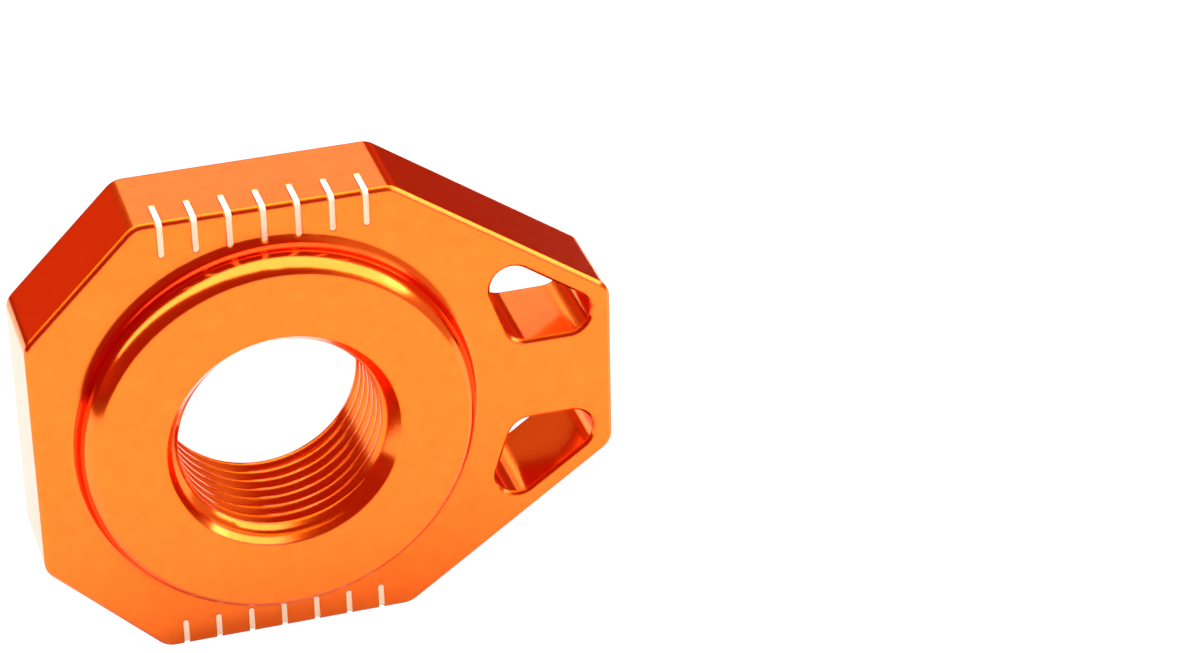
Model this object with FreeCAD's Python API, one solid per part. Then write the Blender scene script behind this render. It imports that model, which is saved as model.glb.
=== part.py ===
import FreeCAD, Part
import math
import os

# Rear axle block of a motorbike chain adjuster, machined from one bar of aluminium.
# It sits on the end of the swingarm, carries the axle in its thread, and an adjuster
# screw pushes on its nose face to tension the chain.
# Millimetres, and degrees for angles. X runs forward to the nose, Y inboard, Z up.
# The origin is where the axle's centre line leaves the flat back face; the boss
# stands out towards -Y.

# Outline of the plate, seen from the boss side
BLOCK_HEIGHT = 43.0
AXLE_TO_NOSE = 30.7
AXLE_TO_TAIL = 21.4
NOSE_FACE_HEIGHT = 16.2
TAIL_FACE_HEIGHT = 22.8
FLAT_AHEAD_OF_AXLE = 11.4
FLAT_BEHIND_AXLE = 11.2
CORNER_RADIUS = 2.0
PLATE_THICKNESS = 9.3
EDGE_BREAK = 0.3

# Round boss on the outboard side
BOSS_DIAMETER = 35.3
BOSS_HEIGHT = 3.4
BOSS_CROWN_WIDTH = 1.1
BOSS_WALL_BAND = 0.1
BOSS_FOOT_RADIUS = 1.2

# Axle thread, M20 x 1.5; the hole is drawn at its minor diameter, ready for the tap
THREAD_MAJOR_DIAMETER = 20.0
THREAD_PITCH = 1.5
THREAD_MOUTH_CLEARANCE = 0.5
THREAD_MOUTH_HALF_ANGLE = 37.5

# Two three-sided windows that lighten the nose
WINDOW_TO_NOSE_FACE = 1.8
WINDOW_TO_BOSS_FOOT = 2.85
WINDOW_WEB_HEIGHT = 8.1
WINDOW_BOSS_SIDE_LEAN = 19.0
WINDOW_CORNER_RADIUS = 2.05

# Scale marks engraved over the upper and lower outboard edges
MARK_COUNT = 7
MARK_SPACING = 3.0
MARK_WIDTH = 0.5
MARK_DEPTH = 0.15
MARK_LENGTH_ON_FLAT = 3.3
UPPER_MARK_LENGTH_ON_FACE = 3.3
LOWER_MARK_LENGTH_ON_FACE = 2.6
LOWER_MARKS_SHIFT = -0.4

# Extra reach of a cutter past the surface it opens
CUTTER_OVERRUN = 1.0

# How near to a face plane an edge counts as lying in it
PLANE_TOLERANCE = 1e-6

OUTBOARD = FreeCAD.Vector(0, -1, 0)
INBOARD = FreeCAD.Vector(0, 1, 0)


def in_plane(x, z, y=0.0):
    return FreeCAD.Vector(x, y, z)


def outline_corners():
    """Corners of the plate before rounding, from the upper tail corner round to the lower."""
    half_height = BLOCK_HEIGHT / 2
    half_nose = NOSE_FACE_HEIGHT / 2
    half_tail = TAIL_FACE_HEIGHT / 2
    upper = [
        in_plane(-AXLE_TO_TAIL, half_tail),
        in_plane(-FLAT_BEHIND_AXLE, half_height),
        in_plane(FLAT_AHEAD_OF_AXLE, half_height),
        in_plane(AXLE_TO_NOSE, half_nose),
    ]
    lower = [in_plane(corner.x, -corner.z) for corner in reversed(upper)]
    return upper + lower


def rounded_loop(corners, radius):
    """Closed wire through the corners, each one replaced by a tangent arc."""
    edges = []
    arc_ends = []
    for index, corner in enumerate(corners):
        to_last = (corners[index - 1] - corner).normalize()
        to_next = (corners[(index + 1) % len(corners)] - corner).normalize()
        half_angle = to_last.getAngle(to_next) / 2
        setback = radius / math.tan(half_angle)
        bisector = (to_last + to_next).normalize()
        middle = corner + bisector * (radius / math.sin(half_angle) - radius)
        start = corner + to_last * setback
        end = corner + to_next * setback
        edges.append(Part.Arc(start, middle, end).toShape())
        arc_ends.append((start, end))
    for index, (start, end) in enumerate(arc_ends):
        edges.append(Part.makeLine(end, arc_ends[(index + 1) % len(arc_ends)][0]))
    return Part.Wire(Part.sortEdges(edges)[0])


def crossing(point_a, along_a, point_b, along_b):
    """Where two lines in the XZ plane meet."""
    gap = point_b - point_a
    turn = along_a.x * along_b.z - along_a.z * along_b.x
    reach = (gap.x * along_b.z - gap.z * along_b.x) / turn
    return point_a + along_a * reach


def window_corners():
    """Corners of the upper window: one side follows the slope, one the web, one the boss."""
    web_side = in_plane(0, WINDOW_WEB_HEIGHT / 2)
    along_web = FreeCAD.Vector(1, 0, 0)
    nose_round = in_plane(
        AXLE_TO_NOSE - WINDOW_TO_NOSE_FACE - WINDOW_CORNER_RADIUS,
        WINDOW_WEB_HEIGHT / 2 + WINDOW_CORNER_RADIUS,
    )
    slope_top, slope_foot = outline_corners()[2:4]
    along_slope = (slope_foot - slope_top).normalize()
    out_of_slope = FreeCAD.Vector(-along_slope.z, 0, along_slope.x)
    slope_side = nose_round + out_of_slope * WINDOW_CORNER_RADIUS
    to_axle = BOSS_DIAMETER / 2 + BOSS_FOOT_RADIUS + WINDOW_TO_BOSS_FOOT
    lean = math.radians(WINDOW_BOSS_SIDE_LEAN)
    boss_side = in_plane(to_axle * math.cos(lean), to_axle * math.sin(lean))
    along_boss_side = FreeCAD.Vector(-math.sin(lean), 0, math.cos(lean))
    return [
        crossing(boss_side, along_boss_side, slope_side, along_slope),
        crossing(slope_side, along_slope, web_side, along_web),
        crossing(web_side, along_web, boss_side, along_boss_side),
    ]


def prism(corners, radius):
    """A rounded outline carried through the thickness of the plate."""
    return Part.Face(rounded_loop(corners, radius)).extrude(OUTBOARD * PLATE_THICKNESS)


def plate():
    upper_window = window_corners()
    lower_window = [in_plane(corner.x, -corner.z) for corner in reversed(upper_window)]
    body = prism(outline_corners(), CORNER_RADIUS)
    body = body.cut(prism(upper_window, WINDOW_CORNER_RADIUS))
    body = body.cut(prism(lower_window, WINDOW_CORNER_RADIUS))
    rims = [
        edge
        for edge in body.Edges
        if max(abs(vertex.Point.y) for vertex in edge.Vertexes) < PLANE_TOLERANCE
        or min(-vertex.Point.y for vertex in edge.Vertexes) > PLATE_THICKNESS - PLANE_TOLERANCE
    ]
    return body.makeChamfer(EDGE_BREAK, rims)


def turned(wire):
    """A solid of revolution about the axle line from a closed half section."""
    return Part.Face(wire).revolve(FreeCAD.Vector(), INBOARD, 360)


def half_section(radius, y):
    """A point of a half section, by its distance from the axle line and its depth."""
    return FreeCAD.Vector(radius, y, 0)


def arc_about(centre, radius, first_angle, last_angle):
    """Arc of a half section; angles in degrees from the radial direction towards +Y."""
    ends_and_middle = [
        centre + half_section(math.cos(angle), math.sin(angle)) * radius
        for angle in map(math.radians, (
            first_angle, (first_angle + last_angle) / 2, last_angle))
    ]
    return Part.Arc(*ends_and_middle).toShape()


def boss():
    """Turned boss: a crowned rim rolls over into the wall, a fillet runs out at its foot."""
    wall = BOSS_DIAMETER / 2
    foot = -PLATE_THICKNESS
    top = foot - BOSS_HEIGHT
    fillet_centre = half_section(wall + BOSS_FOOT_RADIUS, foot - BOSS_FOOT_RADIUS)
    crown_end = foot - BOSS_FOOT_RADIUS - BOSS_WALL_BAND
    crown_height = crown_end - top
    crown_radius = (BOSS_CROWN_WIDTH**2 + crown_height**2) / (2 * BOSS_CROWN_WIDTH)
    crown_centre = half_section(wall - crown_radius, crown_end)
    crown_start = -math.degrees(math.asin(crown_height / crown_radius))
    crown = arc_about(crown_centre, crown_radius, crown_start, 0)
    fillet = arc_about(fillet_centre, BOSS_FOOT_RADIUS, 180, 90)
    face_edge, wall_start = (vertex.Point for vertex in crown.Vertexes)
    wall_end, fillet_end = (vertex.Point for vertex in fillet.Vertexes)
    straights = [
        Part.makeLine(half_section(0, top), face_edge),
        Part.makeLine(wall_start, wall_end),
        Part.makeLine(fillet_end, half_section(0, foot)),
        Part.makeLine(half_section(0, foot), half_section(0, top)),
    ]
    return turned(Part.Wire(Part.sortEdges([crown, fillet] + straights)[0]))


def axle_bore():
    """Tapping hole through plate and boss, opened by a cone at each end."""
    sharp_thread_height = THREAD_PITCH * math.sqrt(3) / 2
    core = THREAD_MAJOR_DIAMETER / 2 - 5 / 8 * sharp_thread_height
    mouth = THREAD_MAJOR_DIAMETER / 2 + THREAD_MOUTH_CLEARANCE
    mouth_slope = math.tan(math.radians(THREAD_MOUTH_HALF_ANGLE))
    front = -PLATE_THICKNESS - BOSS_HEIGHT
    return turned(Part.makePolygon([
        half_section(0, CUTTER_OVERRUN),
        half_section(core + EDGE_BREAK + CUTTER_OVERRUN, CUTTER_OVERRUN),
        half_section(core, -EDGE_BREAK),
        half_section(core, front + (mouth - core) / mouth_slope),
        half_section(mouth + CUTTER_OVERRUN * mouth_slope, front - CUTTER_OVERRUN),
        half_section(0, front - CUTTER_OVERRUN),
        half_section(0, CUTTER_OVERRUN),
    ]))


def mark_cutter(length_on_face):
    """One engraved line of the upper scale at x = 0, bent over the broken edge."""
    face = -PLATE_THICKNESS
    flat = BLOCK_HEIGHT / 2
    face_end = flat - length_on_face + MARK_WIDTH / 2
    flat_end = face + MARK_LENGTH_ON_FLAT - MARK_WIDTH / 2
    bend = EDGE_BREAK + (math.sqrt(2) - 1) * MARK_DEPTH
    section = Part.makePolygon([
        in_plane(0, face_end, face + MARK_DEPTH),
        in_plane(0, flat - bend, face + MARK_DEPTH),
        in_plane(0, flat - MARK_DEPTH, face + bend),
        in_plane(0, flat - MARK_DEPTH, flat_end),
        in_plane(0, flat + CUTTER_OVERRUN, flat_end),
        in_plane(0, flat + CUTTER_OVERRUN, face - CUTTER_OVERRUN),
        in_plane(0, face_end, face - CUTTER_OVERRUN),
        in_plane(0, face_end, face + MARK_DEPTH),
    ])
    bar = Part.Face(section).extrude(FreeCAD.Vector(MARK_WIDTH, 0, 0))
    bar.translate(FreeCAD.Vector(-MARK_WIDTH / 2, 0, 0))
    reach = CUTTER_OVERRUN + MARK_DEPTH
    face_round = Part.makeCylinder(
        MARK_WIDTH / 2, reach, in_plane(0, face_end, face + MARK_DEPTH), OUTBOARD)
    flat_round = Part.makeCylinder(
        MARK_WIDTH / 2, reach, in_plane(0, flat - MARK_DEPTH, flat_end))
    return bar.fuse([face_round, flat_round])


def scale(length_on_face):
    """The row of marks for the upper edge, centred over the axle."""
    first = -(MARK_COUNT - 1) / 2 * MARK_SPACING
    marks = []
    for index in range(MARK_COUNT):
        mark = mark_cutter(length_on_face)
        mark.translate(FreeCAD.Vector(first + index * MARK_SPACING, 0, 0))
        marks.append(mark)
    return Part.makeCompound(marks)


def adjuster_block():
    upper_scale = scale(UPPER_MARK_LENGTH_ON_FACE)
    lower_scale = scale(LOWER_MARK_LENGTH_ON_FACE).mirror(
        FreeCAD.Vector(), FreeCAD.Vector(0, 0, 1))
    lower_scale.translate(FreeCAD.Vector(LOWER_MARKS_SHIFT, 0, 0))
    body = plate().fuse(boss()).removeSplitter()
    body = body.cut(axle_bore())
    body = body.cut(upper_scale).cut(lower_scale)
    return body.Solids[0]


os.makedirs("parts", exist_ok=True)
adjuster_block().exportStep("parts/adjuster_block.step")
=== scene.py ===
import math

import bmesh
import bpy
from mathutils import Matrix, Vector


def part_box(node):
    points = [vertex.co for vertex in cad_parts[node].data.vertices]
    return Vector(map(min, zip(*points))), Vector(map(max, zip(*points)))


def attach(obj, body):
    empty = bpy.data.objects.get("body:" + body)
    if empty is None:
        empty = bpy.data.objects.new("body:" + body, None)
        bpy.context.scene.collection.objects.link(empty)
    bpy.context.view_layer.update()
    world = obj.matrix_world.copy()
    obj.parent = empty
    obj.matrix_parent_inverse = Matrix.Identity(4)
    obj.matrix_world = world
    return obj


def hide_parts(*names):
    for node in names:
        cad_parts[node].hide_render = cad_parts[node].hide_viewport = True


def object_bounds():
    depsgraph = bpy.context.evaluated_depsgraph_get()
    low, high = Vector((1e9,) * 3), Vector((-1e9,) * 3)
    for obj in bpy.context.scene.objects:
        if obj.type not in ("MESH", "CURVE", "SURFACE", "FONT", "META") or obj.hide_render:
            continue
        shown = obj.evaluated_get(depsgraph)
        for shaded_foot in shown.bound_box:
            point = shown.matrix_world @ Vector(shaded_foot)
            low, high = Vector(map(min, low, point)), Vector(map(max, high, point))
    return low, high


# Rear axle block of a motorbike chain adjuster in orange anodised aluminium.
# Metres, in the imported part's own frame: X to the nose, Y inboard, Z up.
MM = 0.001

# Axle thread, M20 x 1.5, tapped right-handed from the boss side. The profile is the
# standard one: 5/8 of a sharp thread's height, with flats of 1/4 and 1/8 of the pitch.
THREAD_PITCH = 1.5 * MM
THREAD_MAJOR_RADIUS = 10.0 * MM
THREAD_DEPTH = THREAD_PITCH * math.sqrt(3) / 2 * 5 / 8
THREAD_CREST = THREAD_PITCH / 4
THREAD_ROOT = THREAD_PITCH / 8

# Where the thread starts, as a share of the pitch
THREAD_PHASE = -0.20

# How finely the tap is drawn, how much it widens the hole, and how far it runs out
THREAD_STEPS_PER_TURN = 180
TAP_OVERCUT = 0.004 * MM
TAP_OVERRUN = 2.0 * MM

# Vertices nearer than the one are joined, and edges shorter than the other dissolved
WELD_DISTANCE = 0.001 * MM
SLIVER_LENGTH = 0.0002 * MM

# The plate's front and its broken edge, and the zone that holds the engraved marks
PLATE_FRONT = -9.3 * MM
EDGE_BREAK = 0.3 * MM
MARK_ZONE_HEIGHT = 4.0 * MM
MARK_ZONE_HALF_SPAN = 9.9 * MM
PAINT_MARGIN = 0.02 * MM

# The fillet at the boss's foot, and the slope from which its faces get painted shade, a darker
# red that also dims the fillet's highlight
BOSS_RADIUS = 17.65 * MM
BOSS_FOOT_RADIUS = 1.2 * MM
STEEP_FROM = math.radians(45)

# The order of the block's materials
ORANGE_SLOT, MARK_SLOT, SHADED_FOOT_SLOT = range(3)

# Edges that bend more than this are drawn sharp
SHARP_ANGLE = math.radians(24)

# How far the anodised finish rounds a sharp edge
EDGE_ROUNDING = 0.32 * MM

# The photograph's camera, fitted to the block's edges. The axis pixel is where the
# hole's axis meets the plane of the plate's front, at that depth.
PHOTO_SIZE = (1200, 653)
SENSOR_WIDTH = 36.0
FOCAL_PIXELS = 4139.0
VIEW_AZIMUTH = math.radians(-16.555)
VIEW_ELEVATION = math.radians(30.273)
VIEW_ROLL = math.radians(-1.044)
AXIS_PIXEL = (276.73, 422.61)
AXIS_DEPTH = 362.7 * MM

# The backdrop as the camera sees it, and the floor's own light in reflections
BACKDROP_BRIGHTNESS = 1.2
FLOOR_GLOW = 0.25


def set_inputs(node, **values):
    """Give a node's sockets their values by name, with _ for a space."""
    for name, value in values.items():
        node.inputs[name.replace("_", " ")].default_value = value


def new_material(name):
    """A material with its nodes, their links and its shader."""
    material = bpy.data.materials.new(name)
    material.use_nodes = True
    nodes = material.node_tree.nodes
    return material, nodes, material.node_tree.links, nodes["Principled BSDF"]


def noise(nodes, links, place, scale_per_mm, detail=2.0):
    """Noise with a grain of so many cells to the millimetre."""
    texture = nodes.new("ShaderNodeTexNoise")
    set_inputs(texture, Scale=scale_per_mm / MM, Detail=detail)
    links.new(place, texture.inputs["Vector"])
    return texture.outputs["Fac"]


def mapped(nodes, links, value, low, high, start=0.3, end=0.7):
    """A value that runs from start to end, stretched to the range low to high."""
    node = nodes.new("ShaderNodeMapRange")
    set_inputs(node, From_Min=start, From_Max=end, To_Min=low, To_Max=high)
    links.new(value, node.inputs["Value"])
    return node.outputs["Result"]


def blend(nodes, links, factor, first, second):
    """Two colours, each a tuple or a node's output, mixed by the factor."""
    node = nodes.new("ShaderNodeMix")
    node.data_type = "RGBA"
    links.new(factor, node.inputs["Factor"])
    for name, colour in (("A", first), ("B", second)):
        if isinstance(colour, tuple):
            node.inputs[name].default_value = colour
        else:
            links.new(colour, node.inputs[name])
    return node.outputs["Result"]


def anodised(name, deep, pale, coat):
    """Satin machined aluminium under a dyed anodised layer with that share of clear coat."""
    material, nodes, links, shader = new_material(name)
    place = nodes.new("ShaderNodeTexCoord").outputs["Object"]
    cloud = noise(nodes, links, place, scale_per_mm=0.8, detail=3.0)
    grain = noise(nodes, links, place, scale_per_mm=7.0, detail=3.0)
    tint = blend(nodes, links, mapped(nodes, links, cloud, low=0.0, high=1.0), deep, pale)
    links.new(tint, shader.inputs["Base Color"])
    links.new(mapped(nodes, links, grain, low=0.14, high=0.19), shader.inputs["Roughness"])
    rounding = nodes.new("ShaderNodeBevel")
    rounding.samples = 6
    set_inputs(rounding, Radius=EDGE_ROUNDING)
    bump = nodes.new("ShaderNodeBump")
    set_inputs(bump, Strength=0.06, Distance=0.01 * MM)
    links.new(rounding.outputs["Normal"], bump.inputs["Normal"])
    links.new(grain, bump.inputs["Height"])
    links.new(bump.outputs["Normal"], shader.inputs["Normal"])
    set_inputs(
        shader, Metallic=1.0, Specular_Tint=(1.0, 0.6, 0.5, 1),
        Coat_Weight=coat, Coat_Roughness=0.12)
    return material


def mark_white():
    """Cream white filling of the engraved marks."""
    material, nodes, links, shader = new_material("mark_white")
    place = nodes.new("ShaderNodeTexCoord").outputs["Object"]
    grain = noise(nodes, links, place, scale_per_mm=6.0)
    tint = blend(
        nodes, links, mapped(nodes, links, grain, low=0.0, high=1.0),
        first=(0.94, 0.92, 0.70, 1), second=(0.98, 0.97, 0.80, 1))
    links.new(tint, shader.inputs["Base Color"])
    set_inputs(shader, Roughness=0.6)
    return material


def helix_rows(mesh, profile, start, turns):
    """The profile's vertices at each step along the helix, one turn past the end."""
    steps = THREAD_STEPS_PER_TURN
    rows = []
    for step in range(steps * (turns + 1) + 1):
        angle = 2 * math.pi * step / steps
        along = start + THREAD_PITCH * step / steps
        rows.append([
            mesh.verts.new((radius * math.sin(angle), along + shift, radius * math.cos(angle)))
            for radius, shift in profile
        ])
    return rows


def helix_faces(mesh, rows, turns):
    """Crest, flank and root of each turn, and the flank that joins it to the next."""
    steps = THREAD_STEPS_PER_TURN
    for step in range(steps * turns):
        this, after = rows[step], rows[step + 1]
        for low in range(len(this) - 1):
            mesh.faces.new((this[low], after[low], after[low + 1], this[low + 1]))
        this_on, after_on = rows[step + steps], rows[step + steps + 1]
        mesh.faces.new((this[-1], after[-1], after_on[0], this_on[0]))


def helix_cap(mesh, rows, first_row, faces_front):
    """A fan that closes one end, round a turn of the core and back down the profile."""
    ring = [rows[first_row + step][0] for step in range(THREAD_STEPS_PER_TURN + 1)]
    ring += list(reversed(rows[first_row][1:]))
    centre = mesh.verts.new((0, ring[0].co.y, 0))
    for here, there in zip(ring, ring[1:] + ring[:1]):
        mesh.faces.new((centre, there, here) if faces_front else (centre, here, there))


def tap(front, back):
    """The solid that a tap sweeps: a threaded core from front to back along Y."""
    core = THREAD_MAJOR_RADIUS - THREAD_DEPTH + TAP_OVERCUT
    profile = [
        (core, -THREAD_CREST / 2),
        (core, THREAD_CREST / 2),
        (THREAD_MAJOR_RADIUS, (THREAD_PITCH - THREAD_ROOT) / 2),
        (THREAD_MAJOR_RADIUS, (THREAD_PITCH + THREAD_ROOT) / 2),
    ]
    start = front - TAP_OVERRUN + THREAD_PHASE * THREAD_PITCH
    turns = math.ceil((back + TAP_OVERRUN - start) / THREAD_PITCH)
    mesh = bmesh.new()
    rows = helix_rows(mesh, profile, start, turns)
    helix_faces(mesh, rows, turns)
    helix_cap(mesh, rows, 0, faces_front=True)
    helix_cap(mesh, rows, THREAD_STEPS_PER_TURN * turns, faces_front=False)
    unused = [vert for vert in mesh.verts if not vert.link_faces]
    bmesh.ops.delete(mesh, geom=unused, context="VERTS")
    bmesh.ops.recalc_face_normals(mesh, faces=mesh.faces)
    return new_object("tap", mesh)


def linked(thing):
    """Put the thing in the scene and hand it back."""
    bpy.context.scene.collection.objects.link(thing)
    return thing


def new_object(name, mesh):
    """A new object in the scene that takes over the bmesh."""
    data = bpy.data.meshes.new(name)
    mesh.to_mesh(data)
    mesh.free()
    return linked(bpy.data.objects.new(name, data))


def applied(thing, kind, **settings):
    """Add a modifier of that kind to the thing and apply it."""
    modifier = thing.modifiers.new(kind.lower(), kind)
    for name, value in settings.items():
        setattr(modifier, name, value)
    with bpy.context.temp_override(object=thing, active_object=thing):
        bpy.ops.object.modifier_apply(modifier=modifier.name)


def welded_copy(node, name):
    """A closed mesh of the CAD node, with its doubled vertices joined."""
    mesh = bmesh.new()
    mesh.from_mesh(node.data)
    bmesh.ops.remove_doubles(mesh, verts=mesh.verts, dist=WELD_DISTANCE)
    return new_object(name, mesh)


def in_a_mark(point, half_height):
    """Whether a face centre lies inside the plate, close under its outboard edges."""
    from_front = point.y - PLATE_FRONT
    from_flat = half_height - abs(point.z)
    return (
        abs(point.x) < MARK_ZONE_HALF_SPAN
        and from_front > PAINT_MARGIN
        and PAINT_MARGIN < from_flat < MARK_ZONE_HEIGHT
        and from_front + from_flat > EDGE_BREAK + PAINT_MARGIN
        and from_front < MARK_ZONE_HEIGHT
    )


def in_shaded_boss_foot(point, normal):
    """Whether a face lies on the steep half of the hollow fillet round the boss's foot, which
    gets painted shade.
    """
    from_axle = math.hypot(point.x, point.z)
    from_plate = PLATE_FRONT - point.y
    return (
        BOSS_RADIUS - PAINT_MARGIN < from_axle < BOSS_RADIUS + BOSS_FOOT_RADIUS
        and 0 < from_plate < BOSS_FOOT_RADIUS
        and -normal.y < math.cos(STEEP_FROM)
    )


def material_slot(face, half_height):
    """The slot of the material that a face of the block has."""
    centre = face.calc_center_median()
    if in_a_mark(centre, half_height):
        return MARK_SLOT
    if in_shaded_boss_foot(centre, face.normal):
        return SHADED_FOOT_SLOT
    return ORANGE_SLOT


def finish_faces(thing, half_height):
    """Smooth shading between sharp edges, white marks and painted shade, a darker red, on the
    boss's foot.
    """
    orange = anodised(
        "anodised_orange",
        deep=(0.87, 0.162, 0.0030, 1), pale=(0.89, 0.182, 0.0060, 1), coat=0.45)
    # Painted shade on the boss's foot fillet: a darker, redder orange with little coat, so the
    # hollow looks shaded and its highlight is dimmed
    shaded_foot = anodised(
        "anodised_painted_shade",
        deep=(0.84, 0.042, 0.0040, 1), pale=(0.86, 0.052, 0.0050, 1), coat=0.05)
    finishes = {ORANGE_SLOT: orange, MARK_SLOT: mark_white(), SHADED_FOOT_SLOT: shaded_foot}
    thing.data.materials.clear()
    for slot in sorted(finishes):
        thing.data.materials.append(finishes[slot])
    mesh = bmesh.new()
    mesh.from_mesh(thing.data)
    bmesh.ops.dissolve_degenerate(mesh, edges=mesh.edges, dist=SLIVER_LENGTH)
    for edge in mesh.edges:
        edge.smooth = edge.is_manifold and edge.calc_face_angle() < SHARP_ANGLE
    for face in mesh.faces:
        face.smooth = True
        face.material_index = material_slot(face, half_height)
    mesh.to_mesh(thing.data)
    mesh.free()
    applied(thing, "WEIGHTED_NORMAL", mode="FACE_AREA", keep_sharp=True)


def threaded_block():
    """The whole block, tapped: it stands for the CAD solid, whose hole is plain."""
    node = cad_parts["adjuster_block"]
    low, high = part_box("adjuster_block")
    block = welded_copy(node, "threaded_block")
    cutter = tap(low.y, high.y)
    applied(block, "BOOLEAN", operation="DIFFERENCE", object=cutter, solver="MANIFOLD")
    bpy.data.objects.remove(cutter)
    finish_faces(block, high.z)
    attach(block, "root")
    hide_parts("adjuster_block")


def camera():
    """The camera at the photograph's viewing angle and framing."""
    back = Vector((
        math.sin(VIEW_AZIMUTH) * math.cos(VIEW_ELEVATION),
        -math.cos(VIEW_AZIMUTH) * math.cos(VIEW_ELEVATION),
        math.sin(VIEW_ELEVATION),
    ))
    level = Vector((0, 0, 1)).cross(back).normalized()
    upright = back.cross(level)
    right = level * math.cos(VIEW_ROLL) + upright * math.sin(VIEW_ROLL)
    up = upright * math.cos(VIEW_ROLL) - level * math.sin(VIEW_ROLL)
    across = (AXIS_PIXEL[0] - PHOTO_SIZE[0] / 2) / FOCAL_PIXELS * AXIS_DEPTH
    down = (AXIS_PIXEL[1] - PHOTO_SIZE[1] / 2) / FOCAL_PIXELS * AXIS_DEPTH
    data = bpy.data.cameras.new("camera")
    data.sensor_width = SENSOR_WIDTH
    data.lens = FOCAL_PIXELS / PHOTO_SIZE[0] * SENSOR_WIDTH
    data.clip_start = 0.01
    thing = linked(bpy.data.objects.new("camera", data))
    place = Vector((0, PLATE_FRONT, 0)) + back * AXIS_DEPTH - right * across + up * down
    turn = Matrix((right, up, back)).transposed().to_4x4()
    thing.matrix_world = Matrix.Translation(place) @ turn
    bpy.context.scene.camera = thing


def softbox(name, place, size, radiance):
    """A rectangular light of that radiance, hidden from the camera."""
    data = bpy.data.lights.new(name, "AREA")
    data.shape = "RECTANGLE"
    data.size, data.size_y = size
    data.energy = radiance * math.pi * size[0] * size[1]
    thing = linked(bpy.data.objects.new(name, data))
    thing.matrix_world = place
    thing.visible_camera = False
    return thing


def overhead_light(height, front, back, half_width, radiance):
    """A level softbox square to the camera; front and back are measured from the block."""
    square = Matrix.Rotation(VIEW_AZIMUTH, 4, "Z")
    centre = Matrix.Translation((0, (front + back) / 2, height))
    softbox("overhead_light", square @ centre, (2 * half_width, back - front), radiance)


def facing_light(name, direction, distance, size, radiance):
    """A softbox that faces the block from that direction."""
    place = Vector(direction).normalized() * distance
    turn = place.to_track_quat("Z", "Y").to_matrix().to_4x4()
    return softbox(name, Matrix.Translation(place) @ turn, size, radiance)


def white_to_camera(nodes, links, lit, white):
    """Pure white where the camera looks straight at it, and the lit shader in reflections."""
    set_inputs(white, Color=(1, 1, 1, 1), Strength=BACKDROP_BRIGHTNESS)
    choice = nodes.new("ShaderNodeMixShader")
    links.new(nodes.new("ShaderNodeLightPath").outputs["Is Camera Ray"], choice.inputs["Fac"])
    links.new(lit.outputs[0], choice.inputs[1])
    links.new(white.outputs[0], choice.inputs[2])
    return choice.outputs["Shader"]


def floor(height, radius):
    """A pale floor round the block, without shadows for the camera."""
    mesh = bmesh.new()
    bmesh.ops.create_circle(mesh, cap_ends=True, segments=96, radius=radius)
    thing = new_object("floor", mesh)
    thing.location.z = height
    material, nodes, links, shader = new_material("floor_white")
    set_inputs(
        shader, Base_Color=(0.68, 0.68, 0.68, 1), Roughness=0.9, Specular_IOR_Level=0.0,
        Emission_Color=(1, 1, 1, 1), Emission_Strength=FLOOR_GLOW)
    white = white_to_camera(nodes, links, shader, nodes.new("ShaderNodeEmission"))
    links.new(white, nodes["Material Output"].inputs["Surface"])
    thing.data.materials.append(material)


def surround(below, front, back, right):
    """A white backdrop for the camera; the block itself mirrors a dim warm room.

    The room's colour goes by direction, and overhead it is the front's again.
    """
    world = bpy.data.worlds.new("surround")
    world.use_nodes = True
    nodes, links = world.node_tree.nodes, world.node_tree.links
    room = nodes["Background"]
    direction = nodes.new("ShaderNodeTexCoord").outputs["Generated"]

    def along(axis, start, end):
        """0 to 1 as the direction's share along the axis runs from start to end."""
        share = nodes.new("ShaderNodeVectorMath")
        share.operation = "DOT_PRODUCT"
        share.inputs[1].default_value = axis
        links.new(direction, share.inputs[0])
        return mapped(
            nodes, links, share.outputs["Value"], low=0.0, high=1.0, start=start, end=end)

    inboard, upward, rightward = (0, 1, 0), (0, 0, 1), (0.87, -0.5, 0)
    level = blend(nodes, links, along(inboard, start=-0.5, end=0.7), front, back)
    above = blend(nodes, links, along(upward, start=0.18, end=0.36), level, front)
    around = blend(nodes, links, along(upward, start=-0.04, end=0.10), below, above)
    whole = blend(nodes, links, along(rightward, start=0.65, end=0.85), around, right)
    links.new(whole, room.inputs["Color"])
    white = white_to_camera(nodes, links, room, nodes.new("ShaderNodeBackground"))
    links.new(white, nodes["World Output"].inputs["Surface"])
    bpy.context.scene.world = world


def studio():
    """The lights and the room that the block mirrors, in the photograph's colours."""
    surround(
        below=(0.36, 0.035, 0.015, 1), front=(0.45, 0.05, 0.02, 1),
        back=(0.74, 0.10, 0.03, 1), right=(0.85, 0.42, 0.30, 1))
    overhead_light(height=0.5, front=-0.15, back=0.67, half_width=1.5, radiance=3.6)
    facing_light(
        "back_light", direction=(0.06, 0.90, 0.42), distance=1.2, size=(0.62, 0.33),
        radiance=1.3)
    facing_light(
        "right_light", direction=(0.88, 0.02, 0.42), distance=1.0, size=(0.4, 0.2),
        radiance=2.4)
    # The fill brightens the cream marks and has no reflection of its own
    fill = facing_light(
        "fill_light", direction=(-0.3, -0.8, 0.5), distance=1.0, size=(0.8, 0.8),
        radiance=1.5)
    fill.visible_glossy = False
    view = bpy.context.scene.view_settings
    view.view_transform = "Standard"
    view.look = "None"


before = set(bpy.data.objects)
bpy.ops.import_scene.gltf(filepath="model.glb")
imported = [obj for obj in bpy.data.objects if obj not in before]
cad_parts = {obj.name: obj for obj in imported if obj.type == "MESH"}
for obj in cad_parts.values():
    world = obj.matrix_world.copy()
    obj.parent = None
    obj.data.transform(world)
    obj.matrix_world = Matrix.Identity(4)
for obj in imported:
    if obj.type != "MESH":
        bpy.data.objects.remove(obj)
cad_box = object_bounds()
camera()
threaded_block()
floor(height=cad_box[0].z, radius=0.2)
studio()
